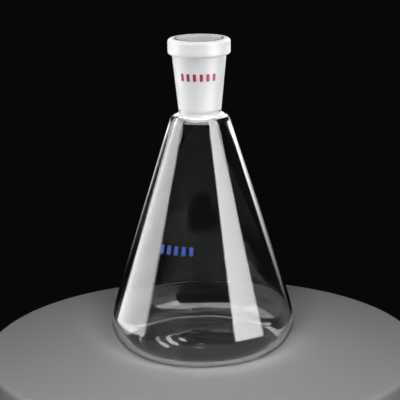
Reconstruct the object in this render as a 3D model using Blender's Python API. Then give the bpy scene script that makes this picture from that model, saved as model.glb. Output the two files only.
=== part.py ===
"""500 mL narrow-neck Erlenmeyer flask with a fused-on 24/40 ground-glass socket.

Metres, +Z up. The origin is the centre of the ring that the flask stands on, and -Y is its front.
Three glass pieces stand on one axis: the blown body, the seal ring that joins it to the neck, and
the ground socket. The fired-on enamel marks are plain bars on the front of the socket and the body.
"""

import math

import bmesh
import bpy

# Ground socket, standard taper 24/40: bore diameters at its two ends, and its ground length. A
# short plain tail under the ground length makes up the rest of the socket.
JOINT_LARGE_BORE = 0.024
JOINT_SMALL_BORE = 0.020
JOINT_LENGTH = 0.040
SOCKET_LENGTH = 0.041
RIM_DIAMETER = 0.0348
RIM_HEIGHT = 0.0086
RIM_TOP_ROUND = 0.0020
RIM_FOOT_ROUND = 0.0013
RIM_MOUTH_CHAMFER = 0.0006
SOCKET_TOP_DIAMETER = 0.0300
SOCKET_FOOT_DIAMETER = 0.0236
SOCKET_FILLET = 0.0008

# Seal ring, from the socket's foot out to the top of the cone.
SEAL_HEIGHT = 0.0043
SHOULDER_DIAMETER = 0.0336
SEAL_WALL = 0.0026
SEAL_THROAT_DROP = 0.0014

# Blown body.
OVERALL_HEIGHT = 0.1776
BODY_DIAMETER = 0.105
HEEL_WIDTH = 0.0152
HEEL_HEIGHT = 0.0165
RESTING_RING_WIDTH = 0.0043
BASE_PUSH_UP = 0.0024
CONE_WALL = 0.0020
HEEL_WALL = 0.0026
BASE_WALL = 0.0028
NECK_THICKENING_LENGTH = 0.012

# Enamel marks: plain bars in a row round the glass.
MARK_THICKNESS = 0.00025
SOCKET_MARK_COUNT = 6
SOCKET_MARK_Z = 0.1576
SOCKET_MARK_ROW_LENGTH = 0.0204
SOCKET_MARK_SIZE = (0.0019, 0.0042)
SOCKET_MARK_AZIMUTH = math.radians(-3.5)
BODY_MARK_COUNT = 5
BODY_MARK_Z = 0.0661
BODY_MARK_ROW_LENGTH = 0.0193
BODY_MARK_SIZE = (0.0022, 0.0048)
BODY_MARK_AZIMUTH = math.radians(-22.0)

PIECE_GAP = 0.0003
TURNING_STEPS = 64
HEEL_STEPS = 12
BASE_STEPS = 7
CORNER_STEPS = 3
MARK_COLUMNS = 2
SMOOTH_ANGLE = math.radians(35)

SEAM_Z = OVERALL_HEIGHT - SOCKET_LENGTH
SHOULDER_Z = SEAM_Z - SEAL_HEIGHT
HEEL_CENTRE = (BODY_DIAMETER / 2 - HEEL_WIDTH, HEEL_HEIGHT)
HEEL_RADII = (HEEL_WIDTH, HEEL_HEIGHT)
SHOULDER_POINT = (SHOULDER_DIAMETER / 2, SHOULDER_Z)


def clear_objects():
    for old in list(bpy.data.objects):
        bpy.data.objects.remove(old, do_unlink=True)


def principled(name, colour, roughness, transmission=0.0):
    """A Principled material; metallic is 0 on glass and enamel alike."""
    material = bpy.data.materials.new(name)
    material.use_nodes = True
    shader = material.node_tree.nodes["Principled BSDF"]
    shader.inputs["Base Color"].default_value = (*colour, 1.0)
    shader.inputs["Roughness"].default_value = roughness
    shader.inputs["Metallic"].default_value = 0.0
    shader.inputs["IOR"].default_value = 1.47
    shader.inputs["Transmission Weight"].default_value = transmission
    material.diffuse_color = (*colour, 1.0)
    return material


def arc(centre, radii, start, end, steps):
    """Points along an elliptical arc, both ends included; angles in degrees, 0 along +r."""
    points = []
    for step in range(steps + 1):
        angle = math.radians(start + (end - start) * step / steps)
        points.append((centre[0] + radii[0] * math.cos(angle), centre[1] + radii[1] * math.sin(angle)))
    return points


def heel_touch_angle():
    """Angle on the heel's ellipse, in degrees, where the straight cone from the shoulder touches it."""
    across = (SHOULDER_POINT[0] - HEEL_CENTRE[0]) / HEEL_RADII[0]
    along = (SHOULDER_POINT[1] - HEEL_CENTRE[1]) / HEEL_RADII[1]
    return math.degrees(math.atan2(along, across) - math.acos(1 / math.hypot(across, along)))


def cone_radius(z):
    """Outer radius of the straight cone at a height."""
    touch = arc(HEEL_CENTRE, HEEL_RADII, heel_touch_angle(), heel_touch_angle(), 1)[0]
    share = (z - touch[1]) / (SHOULDER_POINT[1] - touch[1])
    return touch[0] + (SHOULDER_POINT[0] - touch[0]) * share


def socket_radius(z):
    """Outer radius of the socket's taper at a height, between its foot and its rim."""
    share = (z - SEAM_Z) / (SOCKET_LENGTH - RIM_HEIGHT)
    return (SOCKET_FOOT_DIAMETER + (SOCKET_TOP_DIAMETER - SOCKET_FOOT_DIAMETER) * share) / 2


def body_wall(point):
    """Wall thickness behind a point of the body's outer profile: thick at the neck and the base."""
    radius, z = point
    if z > HEEL_HEIGHT:
        rise = max(0.0, 1 - (SHOULDER_Z - z) / NECK_THICKENING_LENGTH)
        return CONE_WALL + (SEAL_WALL - CONE_WALL) * rise
    if radius > HEEL_CENTRE[0]:
        return CONE_WALL + (HEEL_WALL - CONE_WALL) * (1 - z / HEEL_HEIGHT)
    return BASE_WALL + (HEEL_WALL - BASE_WALL) * radius / HEEL_CENTRE[0]


def body_outer_profile():
    """The body's outside, from the middle of the base, over the resting ring and heel, to the shoulder."""
    ring_inner = HEEL_CENTRE[0] - RESTING_RING_WIDTH
    profile = []
    for step in range(BASE_STEPS):
        share = step / (BASE_STEPS - 1)
        profile.append((ring_inner * share, BASE_PUSH_UP * (1 + math.cos(math.pi * share)) / 2))
    profile += arc(HEEL_CENTRE, HEEL_RADII, -90, heel_touch_angle(), HEEL_STEPS)
    neck_start = SHOULDER_Z - NECK_THICKENING_LENGTH
    profile.append((cone_radius(neck_start), neck_start))
    top = SHOULDER_Z - PIECE_GAP / 2
    profile.append((cone_radius(top), top))
    return profile


def inward(profile, index):
    """Unit vector from the outside into the glass at one point of a profile that runs base to neck."""
    if index == 0:
        return 0.0, 1.0
    before = profile[index - 1]
    after = profile[min(index + 1, len(profile) - 1)]
    run, rise = after[0] - before[0], after[1] - before[1]
    length = math.hypot(run, rise)
    return -rise / length, run / length


def body_inner_profile(outer):
    """The body's inside, from the neck down to the middle of the floor."""
    inner = []
    for index, point in enumerate(outer[:-1]):
        into = inward(outer, index)
        wall = body_wall(point)
        inner.append((max(0.0, point[0] + into[0] * wall), point[1] + into[1] * wall))
    inner.append((outer[-1][0] - SEAL_WALL, outer[-1][1]))
    return inner[::-1]


def seal_profile():
    """Closed section of the seal ring, with z from the shoulder."""
    low, high = PIECE_GAP / 2, SEAL_HEIGHT - PIECE_GAP / 2
    foot, shoulder = SOCKET_FOOT_DIAMETER / 2, SHOULDER_DIAMETER / 2
    throat, skirt = JOINT_SMALL_BORE / 2, shoulder - SEAL_WALL
    outside = arc((foot, low), (shoulder - foot, high - low), 90, 0, 7)
    flare_height = high - SEAL_THROAT_DROP - low
    inside = arc((throat, low), (skirt - throat, flare_height), 0, 90, 5)
    return outside + inside + [(throat, high)]


def socket_profile():
    """Closed section of the socket, with z from the seam: outside first, top to bottom."""
    top, rim, low = SOCKET_LENGTH, RIM_DIAMETER / 2, PIECE_GAP / 2
    rim_foot = top - RIM_HEIGHT
    neck = SOCKET_TOP_DIAMETER / 2
    mouth = JOINT_LARGE_BORE / 2
    top_round = (RIM_TOP_ROUND, RIM_TOP_ROUND)
    foot_round = (RIM_FOOT_ROUND, RIM_FOOT_ROUND)
    fillet = (SOCKET_FILLET, SOCKET_FILLET)
    profile = [(mouth + RIM_MOUTH_CHAMFER, top)]
    profile += arc((rim - RIM_TOP_ROUND, top - RIM_TOP_ROUND), top_round, 90, 0, CORNER_STEPS)
    profile += arc((rim - RIM_FOOT_ROUND, rim_foot + RIM_FOOT_ROUND), foot_round, 0, -90, CORNER_STEPS)
    profile += arc((neck + SOCKET_FILLET, rim_foot - SOCKET_FILLET), fillet, 90, 180, CORNER_STEPS)
    profile.append((SOCKET_FOOT_DIAMETER / 2, low))
    profile.append((JOINT_SMALL_BORE / 2, low))
    profile.append((JOINT_SMALL_BORE / 2, top - JOINT_LENGTH))
    profile.append((mouth, top - RIM_MOUTH_CHAMFER))
    return profile


def finish_mesh(name, bm, material):
    """Turns a bmesh into a mesh with outward faces, smooth where it is round."""
    bmesh.ops.remove_doubles(bm, verts=bm.verts[:], dist=1e-7)
    bmesh.ops.recalc_face_normals(bm, faces=bm.faces[:])
    mesh = bpy.data.meshes.new(name)
    bm.to_mesh(mesh)
    bm.free()
    mesh.materials.append(material)
    mesh.shade_smooth()
    mesh.set_sharp_from_angle(angle=SMOOTH_ANGLE)
    return mesh


def turned_mesh(name, profile, closed, material):
    """Spins a profile of (radius, z) points round the Z axis. An open one starts and ends on the axis."""
    bm = bmesh.new()
    points = [bm.verts.new((radius, 0.0, z)) for radius, z in profile]
    edges = [bm.edges.new(pair) for pair in zip(points, points[1:])]
    if closed:
        edges.append(bm.edges.new((points[-1], points[0])))
    bmesh.ops.spin(
        bm,
        geom=points + edges,
        cent=(0, 0, 0),
        axis=(0, 0, 1),
        angle=math.tau,
        steps=TURNING_STEPS,
        use_merge=True,
    )
    return finish_mesh(name, bm, material)


def bar_mesh(name, size, radius_at, height_z, material):
    """A thin curved bar that lies just off the glass at the front, centred on z = 0."""
    width, height = size
    half_angle = width / 2 / radius_at(height_z)
    bm = bmesh.new()
    grid = {}
    for layer in range(2):
        for row in range(2):
            z = (row - 0.5) * height
            radius = radius_at(height_z + z) + PIECE_GAP + layer * MARK_THICKNESS
            for column in range(MARK_COLUMNS + 1):
                angle = half_angle * (2 * column / MARK_COLUMNS - 1)
                grid[layer, row, column] = bm.verts.new(
                    (radius * math.sin(angle), -radius * math.cos(angle), z)
                )
    for column in range(MARK_COLUMNS):
        near, far = column, column + 1
        for layer in range(2):
            bm.faces.new([grid[layer, 0, near], grid[layer, 0, far], grid[layer, 1, far], grid[layer, 1, near]])
        for row in range(2):
            bm.faces.new([grid[0, row, near], grid[0, row, far], grid[1, row, far], grid[1, row, near]])
    for column in (0, MARK_COLUMNS):
        bm.faces.new([grid[0, 0, column], grid[0, 1, column], grid[1, 1, column], grid[1, 0, column]])
    return finish_mesh(name, bm, material)


def place(name, mesh, datum, z=0.0, azimuth=0.0):
    """Adds a piece on the flask's axis at a height, turned to an azimuth (0 is the front)."""
    piece = bpy.data.objects.new(name, mesh)
    bpy.context.scene.collection.objects.link(piece)
    piece.parent = datum
    piece.location = (0.0, 0.0, z)
    piece.rotation_euler = (0.0, 0.0, azimuth)
    return piece


def place_mark_row(name, mesh, datum, count, row_length, size, radius, z, centre_azimuth):
    """Copies of one bar, evenly spaced round the glass."""
    pitch = (row_length - size[0]) / (count - 1) / radius
    for index in range(count):
        azimuth = centre_azimuth + pitch * (index - (count - 1) / 2)
        place(f"{name}_{index + 1}", mesh, datum, z, azimuth)


def build():
    clear_objects()
    clear_glass = principled("clear_glass", (0.90, 0.94, 0.93), 0.02, transmission=1.0)
    seal_glass = principled("seal_glass", (0.84, 0.90, 0.89), 0.04, transmission=1.0)
    ground_glass = principled("ground_glass", (0.82, 0.83, 0.83), 0.60, transmission=0.5)
    red_enamel = principled("red_enamel", (0.28, 0.02, 0.04), 0.35)
    blue_enamel = principled("blue_enamel", (0.04, 0.13, 0.42), 0.35)

    datum = bpy.data.objects.new("flask_datum", None)
    bpy.context.scene.collection.objects.link(datum)

    outer = body_outer_profile()
    body = outer + body_inner_profile(outer)
    place("flask_body", turned_mesh("flask_body", body, False, clear_glass), datum)
    seal = turned_mesh("fused_seal_ring", seal_profile(), True, seal_glass)
    place("fused_seal_ring", seal, datum, SHOULDER_Z)
    socket = turned_mesh("ground_joint_socket", socket_profile(), True, ground_glass)
    place("ground_joint_socket", socket, datum, SEAM_Z)

    place_mark_row(
        "socket_mark",
        bar_mesh("socket_mark", SOCKET_MARK_SIZE, socket_radius, SOCKET_MARK_Z, red_enamel),
        datum,
        SOCKET_MARK_COUNT,
        SOCKET_MARK_ROW_LENGTH,
        SOCKET_MARK_SIZE,
        socket_radius(SOCKET_MARK_Z),
        SOCKET_MARK_Z,
        SOCKET_MARK_AZIMUTH,
    )
    place_mark_row(
        "body_mark",
        bar_mesh("body_mark", BODY_MARK_SIZE, cone_radius, BODY_MARK_Z, blue_enamel),
        datum,
        BODY_MARK_COUNT,
        BODY_MARK_ROW_LENGTH,
        BODY_MARK_SIZE,
        cone_radius(BODY_MARK_Z),
        BODY_MARK_Z,
        BODY_MARK_AZIMUTH,
    )


build()
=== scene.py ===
"""Looks of the 500 mL Erlenmeyer flask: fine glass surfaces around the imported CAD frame.

Metres, +Z up, -Y is the front. The three glass pieces are fused on a real flask, so the rings where
they meet let light straight through and the glass reads as one body.
"""

import math

import bmesh
import bpy
import numpy as np
from mathutils import Euler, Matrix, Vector, noise


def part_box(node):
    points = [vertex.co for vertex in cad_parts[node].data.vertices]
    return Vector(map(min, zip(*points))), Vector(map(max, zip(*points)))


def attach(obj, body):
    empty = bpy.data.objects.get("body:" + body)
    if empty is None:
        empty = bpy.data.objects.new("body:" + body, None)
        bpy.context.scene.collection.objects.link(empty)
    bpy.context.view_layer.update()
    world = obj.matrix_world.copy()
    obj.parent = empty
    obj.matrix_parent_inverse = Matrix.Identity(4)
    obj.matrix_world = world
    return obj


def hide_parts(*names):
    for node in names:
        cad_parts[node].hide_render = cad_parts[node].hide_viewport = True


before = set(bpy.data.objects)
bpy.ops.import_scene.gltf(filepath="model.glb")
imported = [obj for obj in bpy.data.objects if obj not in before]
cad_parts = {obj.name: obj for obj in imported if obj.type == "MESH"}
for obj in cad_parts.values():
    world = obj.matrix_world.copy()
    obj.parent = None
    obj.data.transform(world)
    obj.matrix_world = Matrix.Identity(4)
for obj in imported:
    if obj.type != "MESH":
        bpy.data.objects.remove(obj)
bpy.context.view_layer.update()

MM = 0.001

# Places and sizes read from the frame. The widest ring stands back a little, so that the waviness of
# the wall stays inside the CAD model's box.
WAVE_ROOM = 0.01 * MM
_, BODY_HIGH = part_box("flask_body")
SEAL_LOW, SEAL_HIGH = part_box("fused_seal_ring")
SOCKET_LOW, SOCKET_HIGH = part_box("ground_joint_socket")
BODY_RADIUS = BODY_HIGH.x - WAVE_ROOM
SHOULDER_RADIUS = SEAL_HIGH.x
RIM_RADIUS = SOCKET_HIGH.x
SHOULDER_Z = (BODY_HIGH.z + SEAL_LOW.z) / 2
SEAM_Z = (SEAL_HIGH.z + SOCKET_LOW.z) / 2
TOP_Z = SOCKET_HIGH.z

# Section details that a box can't say, in metres.
MOUTH_RADIUS, THROAT_RADIUS = 12 * MM, 10 * MM
MOUTH_CHAMFER = 0.6 * MM
JOINT_LENGTH = 40 * MM
RIM_HEIGHT, RIM_TOP_ROUND, RIM_FOOT_ROUND = 8.6 * MM, 2.0 * MM, 1.3 * MM
SOCKET_TOP_RADIUS, SOCKET_FOOT_RADIUS, SOCKET_FILLET = 15.0 * MM, 11.8 * MM, 0.8 * MM
HEEL_WIDTH, HEEL_HEIGHT, RESTING_RING_WIDTH = 15.2 * MM, 16.5 * MM, 4.3 * MM
BASE_PUSH_UP = 2.4 * MM
RIPPLE_HEIGHT, RIPPLE_LENGTH = 0.08 * MM, 6.5 * MM
CONE_WALL, HEEL_WALL, BASE_WALL, SEAL_WALL = 2.0 * MM, 2.6 * MM, 2.8 * MM, 2.6 * MM
NECK_THICKENING_LENGTH = 12 * MM
SATIN_END = 2.0 * MM
POLISHED_MOUTH_WIDTH = 1.3 * MM

# The weld between the neck and the body, in millimetres from the axis and above the shoulder: its
# outside runs down from the neck, and its inside up from the body, round a lip that hangs inwards.
WELD_OUTSIDE = [(11.8, 4.3), (12.2, 3.6), (13.2, 3.1), (14.4, 2.6), (15.7, 1.6), (16.8, 0.0)]
WELD_INSIDE = [(14.2, 0.0), (13.9, 0.7), (13.2, 1.2), (12.6, 1.2)]
WELD_INSIDE += [(12.0, 0.9), (11.4, 0.3), (10.7, 0.1), (10.2, 0.6)]
THROAT_START = 1.6
# Inner rings of the weld narrower than LIP_RADIUS get white glass, a painted highlight.
LIP_RADIUS = 12.7 * MM
PIECE_GAP = 0.02 * MM

# Unevenness of the weld and of the satin's ragged lower edge: its size, and the scale of its noise
# round the flask and, for the weld, per metre of height.
WELD_LUMPS, WELD_WAVES, WELD_WAVES_UP = 0.7 * MM, 3, 150
SATIN_EDGE_AMOUNT, SATIN_EDGE_REACH, SATIN_EDGE_WAVES = 0.6 * MM, 1.5 * MM, 4

# A printed bar: its width as a share of its height, its corners as a share of its width, and how far
# it stands off the glass; then each layer's inset, as a share of the half width, and its thickness
# in millimetres.
MARK_SHAPE, MARK_CORNER, MARK_STAND_OFF = 0.44, 0.35, 0.06 * MM
MARK_LAYERS = ((0.0, 0.0), (0.0, 0.05), (0.06, 0.10), (0.2, 0.13), (0.45, 0.14))

# Feature scales of the base's unevenness, per metre.
SWIRL_SCALE, LUMP_SCALE = 55, 130

# Points of the inner wall nearer than INSIDE_TRIM to the shoulder are dropped, and a ring narrower
# than ON_AXIS is a single point.
INSIDE_TRIM, ON_AXIS = 0.2 * MM, 1e-7
TURNING_STEPS = 192
BASE_STEPS, HEEL_STEPS, CONE_STEPS = 90, 40, 60
GLASS_IOR, ENAMEL_IOR = 1.47, 1.5

TABLE_RADIUS, TABLE_DEPTH, TABLE_EDGE = 0.125, 0.012, 0.003
TABLE_EDGE_ANGLES = (0.4, 0.8, 1.2, 1.57)
TABLE_DROP = 0.0001

# The soft edge of a light panel, as a share of its size. A panel shows in full through up to
# NEAR_FACES glass faces, through up to MIDDLE_FACES only above a height, and through more of them
# only FAR_SHARE of it is left.
PANEL_EDGE = 0.07
NEAR_FACES, MIDDLE_FACES, FAR_SHARE = 3, 5, 0.12
REACH_FADE = 0.04

HEEL_CENTRE = (BODY_RADIUS - HEEL_WIDTH, HEEL_HEIGHT)
HEEL_RADII = (HEEL_WIDTH, HEEL_HEIGHT)
SHOULDER_POINT = (SHOULDER_RADIUS, SHOULDER_Z)


# ---------------------------------------------------------------- sections


def arc(centre, radii, start, end, steps):
    """Points along an elliptical arc, both ends included; angles in degrees, 0 along +r."""
    angles = np.radians(np.linspace(start, end, steps + 1))
    return [(centre[0] + radii[0] * math.cos(a), centre[1] + radii[1] * math.sin(a)) for a in angles]


def line(start, end, steps):
    """Points along a straight line, without its first one."""
    shares = np.linspace(0, 1, steps + 1)[1:]
    return [(start[0] + (end[0] - start[0]) * s, start[1] + (end[1] - start[1]) * s) for s in shares]


def heel_touch_angle():
    """Where on the heel's arc, in degrees, the straight cone down from the shoulder touches it."""
    across = (SHOULDER_POINT[0] - HEEL_CENTRE[0]) / HEEL_RADII[0]
    along = (SHOULDER_POINT[1] - HEEL_CENTRE[1]) / HEEL_RADII[1]
    return math.degrees(math.atan2(along, across) - math.acos(1 / math.hypot(across, along)))


def body_wall(radius, z):
    """Thickness of the body's glass: it grows at the heel, in the base and below the seal."""
    if z > HEEL_HEIGHT:
        rise = max(0.0, 1 - (SHOULDER_Z - z) / NECK_THICKENING_LENGTH)
        return CONE_WALL + (SEAL_WALL - CONE_WALL) * rise * rise * (3 - 2 * rise)
    if radius > HEEL_CENTRE[0]:
        return CONE_WALL + (HEEL_WALL - CONE_WALL) * (1 - z / HEEL_HEIGHT)
    return BASE_WALL + (HEEL_WALL - BASE_WALL) * radius / HEEL_CENTRE[0]


def body_outside():
    """From the middle of the base to the shoulder."""
    ring_inner = HEEL_CENTRE[0] - RESTING_RING_WIDTH
    profile = []
    for share in np.linspace(0, 1, BASE_STEPS + 1)[:-1]:
        profile.append((ring_inner * share, BASE_PUSH_UP * (1 + math.cos(math.pi * share)) / 2))
    profile += arc(HEEL_CENTRE, HEEL_RADII, -90, heel_touch_angle(), HEEL_STEPS)
    top = SHOULDER_Z - PIECE_GAP / 2
    profile += line(profile[-1], (SHOULDER_RADIUS, top), CONE_STEPS)
    return profile


def parallel_inside(outside):
    """The inner wall behind an outside profile that starts on the axis, in the opposite order."""
    points = np.array(outside)
    along = np.gradient(points, axis=0)
    along /= np.linalg.norm(along, axis=1)[:, None]
    inside = []
    for (radius, z), (run, rise) in zip(outside, along):
        wall = body_wall(radius, z)
        inside.append((max(0.0, radius - rise * wall), z + run * wall))
    inside[0] = (0.0, outside[0][1] + BASE_WALL)
    inside[-1] = (outside[-1][0] - SEAL_WALL, outside[-1][1])
    inside = [p for p in inside[:-1] if p[1] < inside[-1][1] - INSIDE_TRIM] + [inside[-1]]
    return inside[::-1]


def smooth_path(points, steps):
    """Catmull-Rom curve through the points, ends included."""
    points = [np.array(p) for p in points]
    padded = [2 * points[0] - points[1]] + points + [2 * points[-1] - points[-2]]
    path = [tuple(points[0])]
    for a, b, c, d in zip(padded, padded[1:], padded[2:], padded[3:]):
        for t in np.linspace(0, 1, steps + 1)[1:]:
            square, cube = 2 * a - 5 * b + 4 * c - d, 3 * b - a - 3 * c + d
            place = 2 * b + (c - a) * t + square * t**2 + cube * t**3
            path.append(tuple(place / 2))
    return path


def seal_sections():
    """Outside of the seal ring, top to bottom, and its inside with the rounded lip, bottom to top."""
    low, high = SHOULDER_Z + PIECE_GAP / 2, SEAM_Z - PIECE_GAP / 2
    outside = smooth_path([(r * MM, min(high, low + z * MM)) for r, z in WELD_OUTSIDE], steps=5)
    inside_points = WELD_INSIDE + [(THROAT_RADIUS / MM, THROAT_START)]
    inside = smooth_path([(r * MM, low + z * MM) for r, z in inside_points], steps=4)
    return outside, inside + line(inside[-1], (THROAT_RADIUS, high), steps=5)


def socket_sections():
    """Outside and inside of the socket; the outside runs top to bottom and the inside back up."""
    low, rim_foot = SEAM_Z + PIECE_GAP / 2, TOP_Z - RIM_HEIGHT
    top_round = (RIM_TOP_ROUND, RIM_TOP_ROUND)
    foot_round = (RIM_FOOT_ROUND, RIM_FOOT_ROUND)
    fillet = (SOCKET_FILLET, SOCKET_FILLET)
    outside = arc((RIM_RADIUS - RIM_TOP_ROUND, TOP_Z - RIM_TOP_ROUND), top_round, 90, 0, steps=10)
    foot = arc((RIM_RADIUS - RIM_FOOT_ROUND, rim_foot + RIM_FOOT_ROUND), foot_round, 0, -90, steps=8)
    outside += line(outside[-1], foot[0], steps=6)[:-1] + foot
    neck = arc((SOCKET_TOP_RADIUS + SOCKET_FILLET, rim_foot - SOCKET_FILLET), fillet, 90, 180, steps=8)
    outside += line(outside[-1], neck[0], steps=2)[:-1] + neck
    satin_end = low + SATIN_END
    outside += line(outside[-1], (socket_surface(satin_end), satin_end), steps=30)
    outside += line(outside[-1], (SOCKET_FOOT_RADIUS, low), steps=6)
    inside = [(THROAT_RADIUS, low), (THROAT_RADIUS, TOP_Z - JOINT_LENGTH)]
    inside += line(inside[-1], (MOUTH_RADIUS, TOP_Z - MOUTH_CHAMFER), steps=40)
    inside += line(inside[-1], (MOUTH_RADIUS + MOUTH_CHAMFER, TOP_Z), steps=3)
    return outside, inside


# ---------------------------------------------------------------- meshes


def ring_points(radius, z, wobble):
    """One ring of a turned surface; wobble(angle, radius, z) says how far a point moves out and up."""
    points = []
    for step in range(TURNING_STEPS):
        angle = math.tau * step / TURNING_STEPS
        out, up = wobble(angle, radius, z)
        points.append(((radius + out) * math.sin(angle), -(radius + out) * math.cos(angle), z + up))
    return points


def steady(angle, radius, z):
    return 0.0, 0.0


class Turning:
    """A closed turned mesh, built ring by ring along its section."""

    def __init__(self, name, materials):
        self.name = name
        self.materials = materials
        self.bm = bmesh.new()
        self.rings = []
        self.ring_looks = []

    def ring(self, radius, z, material, wobble=steady):
        """Adds a ring; the faces that lead to it are of the material."""
        if radius < ON_AXIS:
            ring = [self.bm.verts.new((0, 0, z + wobble(0.0, 0.0, z)[1]))]
        else:
            ring = [self.bm.verts.new(p) for p in ring_points(radius, z, wobble)]
        self.rings.append(ring)
        self.ring_looks.append(self.materials.index(material))

    def join(self, lower, upper, look):
        """Faces between two rings; a ring on the axis is a single point."""
        for step in range(TURNING_STEPS):
            after = (step + 1) % TURNING_STEPS
            if len(lower) == 1:
                corners = [lower[0], upper[step], upper[after]]
            elif len(upper) == 1:
                corners = [lower[step], lower[after], upper[0]]
            else:
                corners = [lower[step], lower[after], upper[after], upper[step]]
            face = self.bm.faces.new(corners)
            face.material_index = look
            face.smooth = True

    def finish(self, closed, cad_node):
        """Makes the piece; closed joins the last ring to the first, where no ring is on the axis."""
        for index in range(1, len(self.rings)):
            self.join(self.rings[index - 1], self.rings[index], self.ring_looks[index])
        if closed:
            self.join(self.rings[-1], self.rings[0], self.ring_looks[0])
        bmesh.ops.recalc_face_normals(self.bm, faces=self.bm.faces[:])
        mesh = bpy.data.meshes.new(self.name)
        self.bm.to_mesh(mesh)
        self.bm.free()
        for material in self.materials:
            mesh.materials.append(material)
        mesh.set_sharp_from_angle(angle=math.radians(50))
        return add_piece(self.name, mesh, cad_node)


def add_piece(name, mesh, cad_node):
    piece = bpy.data.objects.new(name, mesh)
    bpy.context.scene.collection.objects.link(piece)
    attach(piece, "root")
    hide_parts(cad_node)
    return piece


def ragged(height, reach, amount):
    """An uneven edge on the socket: rings within reach of a height move up and down along its slope."""
    slope = (socket_surface(height + MM) - socket_surface(height)) / MM

    def wobble(angle, radius, z):
        spot = Vector((math.sin(angle) * SATIN_EDGE_WAVES, math.cos(angle) * SATIN_EDGE_WAVES, 2.0))
        up = amount * noise.noise(spot) * max(0.0, 1 - abs(z - height) / reach)
        return up * slope, up

    return wobble


def lumpy(low, high, amount):
    """Unevenness of a hand-made weld: it fades out at its two ends."""

    def wobble(angle, radius, z):
        share = min(1.0, max(0.0, (z - low) / (high - low)))
        fade = amount * math.sin(math.pi * share)
        spot = Vector((math.sin(angle) * WELD_WAVES, math.cos(angle) * WELD_WAVES, z * WELD_WAVES_UP))
        return fade * noise.noise(spot), fade * noise.noise(spot + Vector((9, 9, 9)))

    return wobble


def waviness(amount, around, along, seed):
    """Slow unevenness of blown glass: how far the wall moves out at an angle and a height."""

    def wobble(angle, radius, z):
        spot = Vector((math.sin(angle) * around, math.cos(angle) * around, z * along + seed))
        return amount * noise.noise(spot), 0.0

    return wobble


def blown(wall_wobble, lumps, ripple, seed):
    """Waviness of the wall, and on the base lumps and broken rings left by the blowing. No point
    goes below the table."""
    wall_start = 2 * HEEL_HEIGHT

    def wobble(angle, radius, z):
        if z > wall_start:
            return wall_wobble(angle, radius, z)
        reach = max(0.0, 1 - radius / HEEL_CENTRE[0])
        x, y = radius * math.sin(angle), radius * math.cos(angle)
        swirl = 0.5 + noise.noise(Vector((x * SWIRL_SCALE, y * SWIRL_SCALE, seed)))
        rings = ripple * reach * swirl * math.cos(math.tau * radius / RIPPLE_LENGTH + 2 * swirl)
        bumps = lumps * reach * noise.noise(Vector((x * LUMP_SCALE, y * LUMP_SCALE, seed + 5)))
        share = min(1.0, z / wall_start)
        return share * wall_wobble(angle, radius, z)[0], max(-z, rings + bumps)

    return wobble


# ---------------------------------------------------------------- materials


def node(tree, kind, **settings):
    made = tree.nodes.new(kind)
    for key, value in settings.items():
        setattr(made, key, value)
    return made


def new_material(name):
    material = bpy.data.materials.new(name)
    material.use_nodes = True
    tree = material.node_tree
    return material, tree, tree.nodes["Principled BSDF"]


def object_noise(tree, scale, detail, stretch=(1, 1, 1)):
    """Noise in object space, stretched, 0 to 1."""
    coords = node(tree, "ShaderNodeTexCoord")
    mapping = node(tree, "ShaderNodeMapping")
    mapping.inputs["Scale"].default_value = stretch
    texture = node(tree, "ShaderNodeTexNoise")
    texture.inputs["Scale"].default_value = scale
    texture.inputs["Detail"].default_value = detail
    tree.links.new(coords.outputs["Object"], mapping.inputs["Vector"])
    tree.links.new(mapping.outputs["Vector"], texture.inputs["Vector"])
    return texture.outputs["Fac"]


def ranged(tree, value, low, high):
    """Maps 0..1 to low..high."""
    mapped = node(tree, "ShaderNodeMapRange")
    mapped.inputs["To Min"].default_value = low
    mapped.inputs["To Max"].default_value = high
    tree.links.new(value, mapped.inputs["Value"])
    return mapped.outputs["Result"]


def bumped(tree, shader, height, strength, distance):
    """Fine relief; distance is its depth in metres."""
    bump = node(tree, "ShaderNodeBump")
    bump.inputs["Strength"].default_value = strength
    bump.inputs["Distance"].default_value = distance
    tree.links.new(height, bump.inputs["Height"])
    tree.links.new(bump.outputs["Normal"], shader.inputs["Normal"])


def clear_glass(name, tint, roughness):
    """Polished glass with faint smudges and upright striae."""
    material, tree, shader = new_material(name)
    shader.inputs["Base Color"].default_value = (*tint, 1)
    shader.inputs["IOR"].default_value = GLASS_IOR
    shader.inputs["Transmission Weight"].default_value = 1.0
    smudge = object_noise(tree, scale=60, detail=4, stretch=(1, 1, 0.35))
    tree.links.new(ranged(tree, smudge, *roughness), shader.inputs["Roughness"])
    striae = object_noise(tree, scale=90, detail=2, stretch=(1, 1, 0.12))
    bumped(tree, shader, striae, strength=0.15, distance=0.0002)
    return material


def by_height(tree, low, high, low_colour, high_colour):
    """A colour that changes evenly between two heights."""
    place = node(tree, "ShaderNodeSeparateXYZ")
    tree.links.new(node(tree, "ShaderNodeTexCoord").outputs["Object"], place.inputs[0])
    share = node(tree, "ShaderNodeMapRange")
    share.inputs["From Min"].default_value = low
    share.inputs["From Max"].default_value = high
    tree.links.new(place.outputs["Z"], share.inputs["Value"])
    ramp = node(tree, "ShaderNodeValToRGB")
    ramp.color_ramp.elements[0].color = (*low_colour, 1)
    ramp.color_ramp.elements[1].color = (*high_colour, 1)
    tree.links.new(share.outputs["Result"], ramp.inputs["Fac"])
    return ramp.outputs["Color"]


def ground_glass(name, foot_tint, mouth_colour_and_shade, transmission, roughness):
    """Frosted glass whose colour runs from the socket's foot to its mouth; where it is darker at the mouth,
    that is painted shade.
    """
    material, tree, shader = new_material(name)
    tree.links.new(by_height(tree, SEAM_Z, TOP_Z, foot_tint, mouth_colour_and_shade), shader.inputs["Base Color"])
    shader.inputs["IOR"].default_value = GLASS_IOR
    shader.inputs["Transmission Weight"].default_value = transmission
    grain = object_noise(tree, scale=2500, detail=3)
    tree.links.new(ranged(tree, grain, *roughness), shader.inputs["Roughness"])
    bumped(tree, shader, grain, strength=0.4, distance=0.00006)
    return material


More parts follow.
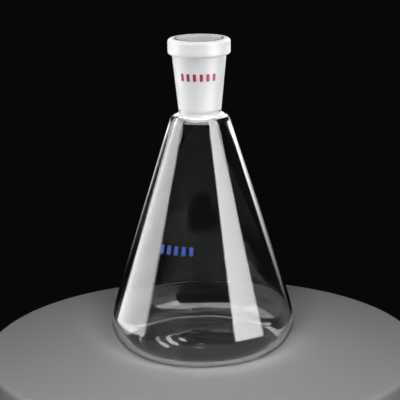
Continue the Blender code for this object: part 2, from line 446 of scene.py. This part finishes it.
def enamel(name, colour):
    """Fired print: a satin coat with a fine speckle."""
    material, tree, shader = new_material(name)
    shader.inputs["IOR"].default_value = ENAMEL_IOR
    darker, lighter = [c * 0.75 for c in colour], [min(1, c * 1.25) for c in colour]
    speckle = object_noise(tree, scale=1500, detail=3)
    ramp = node(tree, "ShaderNodeValToRGB")
    ramp.color_ramp.elements[0].position = 0.3
    ramp.color_ramp.elements[0].color = (*darker, 1)
    ramp.color_ramp.elements[1].position = 0.75
    ramp.color_ramp.elements[1].color = (*lighter, 1)
    tree.links.new(speckle, ramp.inputs["Fac"])
    tree.links.new(ramp.outputs["Color"], shader.inputs["Base Color"])
    tree.links.new(ranged(tree, speckle, low=0.25, high=0.45), shader.inputs["Roughness"])
    bumped(tree, shader, speckle, strength=0.2, distance=0.00003)
    return material


def fused_face(name):
    """The rings where two fused pieces meet: there is no surface there, so light goes straight on."""
    material, _, shader = new_material(name)
    shader.inputs["Alpha"].default_value = 0.0
    shader.inputs["Roughness"].default_value = 0.0
    return material


# ---------------------------------------------------------------- pieces


def make_body(clear, joined):
    turning = Turning("blown_body", [clear, joined])
    outside = body_outside()
    outer_waves = waviness(amount=0.06 * MM, around=1.6, along=25, seed=3.0)
    inner_waves = waviness(amount=0.08 * MM, around=1.6, along=22, seed=9.0)
    outer_wobble = blown(outer_waves, lumps=0.05 * MM, ripple=0.03 * MM, seed=1.0)
    inner_wobble = blown(inner_waves, lumps=0.16 * MM, ripple=RIPPLE_HEIGHT, seed=7.0)
    for radius, z in outside:
        turning.ring(radius, z, clear, outer_wobble)
    for index, (radius, z) in enumerate(parallel_inside(outside)):
        turning.ring(radius, z, joined if index == 0 else clear, inner_wobble)
    return turning.finish(False, "flask_body")


def make_seal(clear, lip_painted_highlight, joined):
    turning = Turning("seal_ring", [clear, joined, lip_painted_highlight])
    outside, inside = seal_sections()
    wobble = lumpy(SHOULDER_Z, SEAM_Z, WELD_LUMPS)
    for index, (radius, z) in enumerate(outside):
        turning.ring(radius, z, joined if index == 0 else clear, wobble)
    for index, (radius, z) in enumerate(inside):
        # Rings inside the lip get the white glass, a painted highlight for the weld's bright bands.
        inner_look = lip_painted_highlight if radius < LIP_RADIUS else clear
        turning.ring(radius, z, joined if index == 0 else inner_look, wobble)
    return turning.finish(True, "fused_seal_ring")


def make_socket(clear, ground_and_painted_shade, satin, joined):
    turning = Turning("ground_socket", [clear, ground_and_painted_shade, joined, satin])
    outside, inside = socket_sections()
    satin_end = SEAM_Z + SATIN_END
    edge = ragged(satin_end, SATIN_EDGE_REACH, SATIN_EDGE_AMOUNT)
    turning.ring(MOUTH_RADIUS + MOUTH_CHAMFER + POLISHED_MOUTH_WIDTH, TOP_Z, clear)
    for radius, z in outside:
        turning.ring(radius, z, satin if z > satin_end - 0.1 * MM else clear, edge)
    # The bore is ground glass, with painted shade darkening it towards the mouth.
    for index, (radius, z) in enumerate(inside):
        turning.ring(radius, z, joined if index == 0 else ground_and_painted_shade)
    return turning.finish(True, "ground_joint_socket")


def print_mark(name, cad_node, material, surface_radius):
    """One printed bar: a thin rounded plate that follows the glass, with softly rolled edges."""
    low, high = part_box(cad_node)
    middle = (low + high) / 2
    azimuth = math.atan2(middle.x, -middle.y)
    height = high.z - low.z
    width = MARK_SHAPE * height
    corner = MARK_CORNER * width
    bm = bmesh.new()
    layers = []
    for inset, thickness in MARK_LAYERS:
        half_width, half_height = width / 2 * (1 - inset), height / 2 - width / 2 * inset
        outline = rounded_outline(half_width, half_height, corner * (1 - inset))
        layer = []
        for across, up in outline:
            z = middle.z + up
            radius = surface_radius(z) + MARK_STAND_OFF + thickness * MM
            angle = azimuth + across / radius
            layer.append(bm.verts.new((radius * math.sin(angle), -radius * math.cos(angle), z)))
        layers.append(layer)
    for lower, upper in zip(layers, layers[1:]):
        for step in range(len(lower)):
            after = (step + 1) % len(lower)
            bm.faces.new([lower[step], lower[after], upper[after], upper[step]]).smooth = True
    bm.faces.new(layers[-1]).smooth = True
    bm.faces.new(layers[0][::-1])
    bmesh.ops.recalc_face_normals(bm, faces=bm.faces[:])
    mesh = bpy.data.meshes.new(name)
    bm.to_mesh(mesh)
    bm.free()
    mesh.materials.append(material)
    mesh.set_sharp_from_angle(angle=math.radians(60))
    add_piece(name, mesh, cad_node)


def rounded_outline(half_width, half_height, corner):
    """A rectangle about the origin with rounded corners, anticlockwise."""
    outline = []
    for x, z, start in ((1, 1, 0), (-1, 1, 90), (-1, -1, 180), (1, -1, 270)):
        centre = (x * (half_width - corner), z * (half_height - corner))
        outline += arc(centre, (corner, corner), start, start + 90, steps=6)
    return outline


def socket_surface(z):
    """Outside radius of the socket's tapered tube at a height."""
    foot, top = SEAM_Z, TOP_Z - RIM_HEIGHT - SOCKET_FILLET
    return SOCKET_FOOT_RADIUS + (SOCKET_TOP_RADIUS - SOCKET_FOOT_RADIUS) * (z - foot) / (top - foot)


def cone_surface(z):
    """Outside radius of the straight cone at a height."""
    touch = arc(HEEL_CENTRE, HEEL_RADII, heel_touch_angle(), heel_touch_angle(), 1)[0]
    return touch[0] + (SHOULDER_RADIUS - touch[0]) * (z - touch[1]) / (SHOULDER_Z - touch[1])


def make_stage():
    """A round pale table top under the flask."""
    bm = bmesh.new()
    flat = TABLE_RADIUS - TABLE_EDGE
    profile = [(0, 0), (flat, 0)]
    for a in TABLE_EDGE_ANGLES:
        profile.append((flat + TABLE_EDGE * math.sin(a), -TABLE_EDGE + TABLE_EDGE * math.cos(a)))
    profile += [(TABLE_RADIUS, -TABLE_DEPTH), (0, -TABLE_DEPTH)]
    verts = [bm.verts.new((r, 0, z)) for r, z in profile]
    edges = [bm.edges.new(pair) for pair in zip(verts, verts[1:])]
    bmesh.ops.spin(
        bm, geom=verts + edges, cent=(0, 0, 0), axis=(0, 0, 1), angle=math.tau, steps=128, use_merge=True
    )
    bmesh.ops.remove_doubles(bm, verts=bm.verts[:], dist=1e-6)
    bmesh.ops.recalc_face_normals(bm, faces=bm.faces[:])
    mesh = bpy.data.meshes.new("table_top")
    bm.to_mesh(mesh)
    bm.free()
    mesh.shade_smooth()
    mesh.set_sharp_from_angle(angle=math.radians(30))
    material, _, shader = new_material("pale_table")
    shader.inputs["Base Color"].default_value = (0.42, 0.42, 0.415, 1)
    shader.inputs["Roughness"].default_value = 0.9
    shader.inputs["Specular IOR Level"].default_value = 0.1
    mesh.materials.append(material)
    table = bpy.data.objects.new("table_top", mesh)
    table.location.z = -TABLE_DROP
    bpy.context.scene.collection.objects.link(table)
    return table


def multiplied(tree, first, second):
    product = node(tree, "ShaderNodeMath", operation="MULTIPLY")
    tree.links.new(first, product.inputs[0])
    tree.links.new(second, product.inputs[1])
    return product.outputs[0]


def panel_glow(tree, place, across, upward):
    """Strength over a panel: across and upward give its two ends each way, and the edges are soft."""
    sideways = ranged(tree, place.outputs["X"], *across)
    glow = multiplied(tree, sideways, ranged(tree, place.outputs["Z"], *upward))
    for axis in "XZ":
        inward = node(tree, "ShaderNodeMath", operation="PINGPONG")
        inward.inputs[1].default_value = 0.5
        tree.links.new(place.outputs[axis], inward.inputs[0])
        edge = node(tree, "ShaderNodeMapRange", interpolation_type="SMOOTHSTEP")
        edge.inputs["From Max"].default_value = PANEL_EDGE
        tree.links.new(inward.outputs[0], edge.inputs["Value"])
        glow = multiplied(tree, glow, edge.outputs["Result"])
    return glow


def fewer_faces(tree, path, most):
    """1 where light has passed at most so many glass faces, else 0."""
    fewer = node(tree, "ShaderNodeMath", operation="LESS_THAN")
    fewer.inputs[1].default_value = most + 0.5
    tree.links.new(path.outputs["Transmission Depth"], fewer.inputs[0])
    return fewer.outputs[0]


def panel_reach(tree, path, place, full_above):
    """How much of a panel's light is left past many glass faces, so that the base isn't flooded;
    full_above is a share of the panel's own height, or below 0 for all of the panel."""
    high = node(tree, "ShaderNodeMapRange", interpolation_type="SMOOTHSTEP")
    high.inputs["From Min"].default_value = full_above - REACH_FADE
    high.inputs["From Max"].default_value = full_above + REACH_FADE
    tree.links.new(place.outputs["Z"], high.inputs["Value"])
    either = node(tree, "ShaderNodeMath", operation="MAXIMUM")
    upper_part = multiplied(tree, fewer_faces(tree, path, MIDDLE_FACES), high.outputs["Result"])
    tree.links.new(fewer_faces(tree, path, NEAR_FACES), either.inputs[0])
    tree.links.new(upper_part, either.inputs[1])
    return ranged(tree, either.outputs[0], FAR_SHARE, 1)


def panel_light(name, across, upward, full_above):
    """Emission that lights surfaces and shows in reflections, but that a straight look, also one
    through clear glass, passes by: there the ray has made no turn except refractions."""
    material = bpy.data.materials.new(name)
    material.use_nodes = True
    tree = material.node_tree
    tree.nodes.clear()
    path = node(tree, "ShaderNodeLightPath")
    turns = node(tree, "ShaderNodeMath", operation="SUBTRACT")
    tree.links.new(path.outputs["Ray Depth"], turns.inputs[0])
    tree.links.new(path.outputs["Transmission Depth"], turns.inputs[1])
    shown = node(tree, "ShaderNodeMath", operation="GREATER_THAN")
    shown.inputs[1].default_value = 0.5
    tree.links.new(turns.outputs[0], shown.inputs[0])
    place = node(tree, "ShaderNodeSeparateXYZ")
    tree.links.new(node(tree, "ShaderNodeTexCoord").outputs["Generated"], place.inputs[0])
    reach = panel_reach(tree, path, place, full_above)
    glow = multiplied(tree, panel_glow(tree, place, across, upward), reach)
    emission = node(tree, "ShaderNodeEmission")
    tree.links.new(glow, emission.inputs["Strength"])
    mix = node(tree, "ShaderNodeMixShader")
    tree.links.new(shown.outputs[0], mix.inputs["Fac"])
    tree.links.new(node(tree, "ShaderNodeBsdfTransparent").outputs[0], mix.inputs[1])
    tree.links.new(emission.outputs[0], mix.inputs[2])
    output = node(tree, "ShaderNodeOutputMaterial")
    tree.links.new(mix.outputs[0], output.inputs["Surface"])
    return material


def panel(name, receivers, azimuth, elevation, distance, middle, size, upward, across=(1, 1), full_above=-1):
    """A rectangular soft light that faces the flask's axis at height middle. Azimuth 0 is the front
    and 90 the right; upward is its strength at the bottom and the top, across a factor at each side."""
    width, height = size
    bm = bmesh.new()
    corners = [(-1, -1), (1, -1), (1, 1), (-1, 1)]
    bm.faces.new([bm.verts.new((x * width / 2, 0, z * height / 2)) for x, z in corners])
    mesh = bpy.data.meshes.new(name)
    bm.to_mesh(mesh)
    bm.free()
    mesh.materials.append(panel_light(name, across, upward, full_above))
    light = bpy.data.objects.new(name, mesh)
    turn, rise = math.radians(azimuth), math.radians(elevation)
    out = distance * math.cos(rise)
    light.location = (out * math.sin(turn), -out * math.cos(turn), middle + distance * math.sin(rise))
    light.rotation_euler = (-rise, 0, turn)
    light.light_linking.receiver_collection = receivers
    bpy.context.scene.collection.objects.link(light)


def receivers_for(name, piece, state):
    """What a panel lights: INCLUDE gives the piece only, EXCLUDE all but the piece."""
    receivers = bpy.data.collections.new(name)
    receivers.objects.link(piece)
    receivers.collection_objects[0].light_linking.link_state = state
    return receivers


def make_lights(table, socket):
    flask = receivers_for("flask_only", table, "EXCLUDE")
    floor = receivers_for("table_only", table, "INCLUDE")
    joint = receivers_for("joint_only", socket, "INCLUDE")
    panel("panel_joint", joint, azimuth=-45, elevation=10, distance=0.6, middle=0.15,
          size=(0.35, 0.4), upward=(3.5, 3.5))
    panel("panel_left", flask, azimuth=-102.5, elevation=0, distance=0.6, middle=0.325,
          size=(0.67, 0.85), upward=(4.2, 6.5), across=(0.7, 1.1), full_above=0.45)
    panel("panel_right", flask, azimuth=56.7, elevation=0, distance=0.6, middle=0.325,
          size=(0.441, 0.85), upward=(8, 9.5), across=(1.15, 0.8), full_above=0.52)
    panel("panel_top", flask, azimuth=0, elevation=60, distance=0.7, middle=0.1,
          size=(1.3, 0.45), upward=(7, 7))
    panel("panel_rear_left", flask, azimuth=-166, elevation=0, distance=0.9, middle=0.21,
          size=(0.2, 0.78), upward=(0, 4.5))
    panel("panel_rear_right", flask, azimuth=154, elevation=0, distance=0.9, middle=0.235,
          size=(0.44, 0.73), upward=(0, 5.1))
    panel("panel_back_top", flask, azimuth=180, elevation=38, distance=1.0, middle=0.05,
          size=(1.2, 0.12), upward=(5, 5))
    panel("panel_floor", floor, azimuth=0, elevation=32, distance=0.8, middle=0.0,
          size=(0.5, 0.25), upward=(16, 16))


def make_camera():
    """Portrait lens on a stand in front of the flask, looking slightly down."""
    data = bpy.data.cameras.new("camera")
    data.sensor_width = 36
    data.lens = 138.7
    camera = bpy.data.objects.new("camera", data)
    camera.location = (-0.0007, -0.842, 0.302)
    looking_down = 14.41
    pitch, roll = math.radians(90 - looking_down), math.radians(-0.85)
    turn = Euler((pitch, 0, 0)).to_matrix() @ Euler((0, 0, roll)).to_matrix()
    camera.rotation_euler = turn.to_euler()
    bpy.context.scene.collection.objects.link(camera)
    bpy.context.scene.camera = camera


def make_world():
    world = bpy.data.worlds.new("dark_studio")
    world.use_nodes = True
    background = world.node_tree.nodes["Background"]
    background.inputs["Color"].default_value = (0.0024, 0.0024, 0.0024, 1)
    bpy.context.scene.world = world


clear = clear_glass("clear_borosilicate", tint=(0.97, 0.985, 0.98), roughness=(0.0, 0.008))
# The bore's ground glass is darker towards the mouth: that is painted shade inside the bore.
ground_and_painted_shade = ground_glass(
    "ground_bore_painted_shade",
    foot_tint=(0.86, 0.86, 0.87),
    mouth_colour_and_shade=(0.40, 0.40, 0.41),
    transmission=0.6,
    roughness=(0.5, 0.75),
)
satin = ground_glass(
    "satin_outside",
    foot_tint=(0.93, 0.935, 0.94),
    mouth_colour_and_shade=(0.93, 0.935, 0.94),
    transmission=0.8,
    roughness=(0.28, 0.42),
)
# The weld's inner lip is white frosted glass: a painted highlight that stands in for the bright bands of
# light in the thick clear lip.
lip_painted_highlight = ground_glass(
    "weld_lip_painted_highlight",
    foot_tint=(0.97, 0.97, 0.97),
    mouth_colour_and_shade=(0.97, 0.97, 0.97),
    transmission=0.25,
    roughness=(0.4, 0.6),
)
joined = fused_face("fused_ring")
red = enamel("red_enamel_print", (0.25, 0.02, 0.045))
blue = enamel("blue_enamel_print", (0.02, 0.042, 0.2))
make_body(clear, joined)
make_seal(clear, lip_painted_highlight, joined)
socket = make_socket(clear, ground_and_painted_shade, satin, joined)
for name in sorted(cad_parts):
    if name.startswith("socket_mark"):
        print_mark(name.replace("mark", "print"), name, red, socket_surface)
    elif name.startswith("body_mark"):
        print_mark(name.replace("mark", "print"), name, blue, cone_surface)

make_lights(make_stage(), socket)
make_camera()
make_world()

scene = bpy.context.scene
scene.view_settings.view_transform = "Standard"
scene.cycles.max_bounces = 32
scene.cycles.transmission_bounces = 32
scene.cycles.glossy_bounces = 16
scene.cycles.transparent_max_bounces = 32
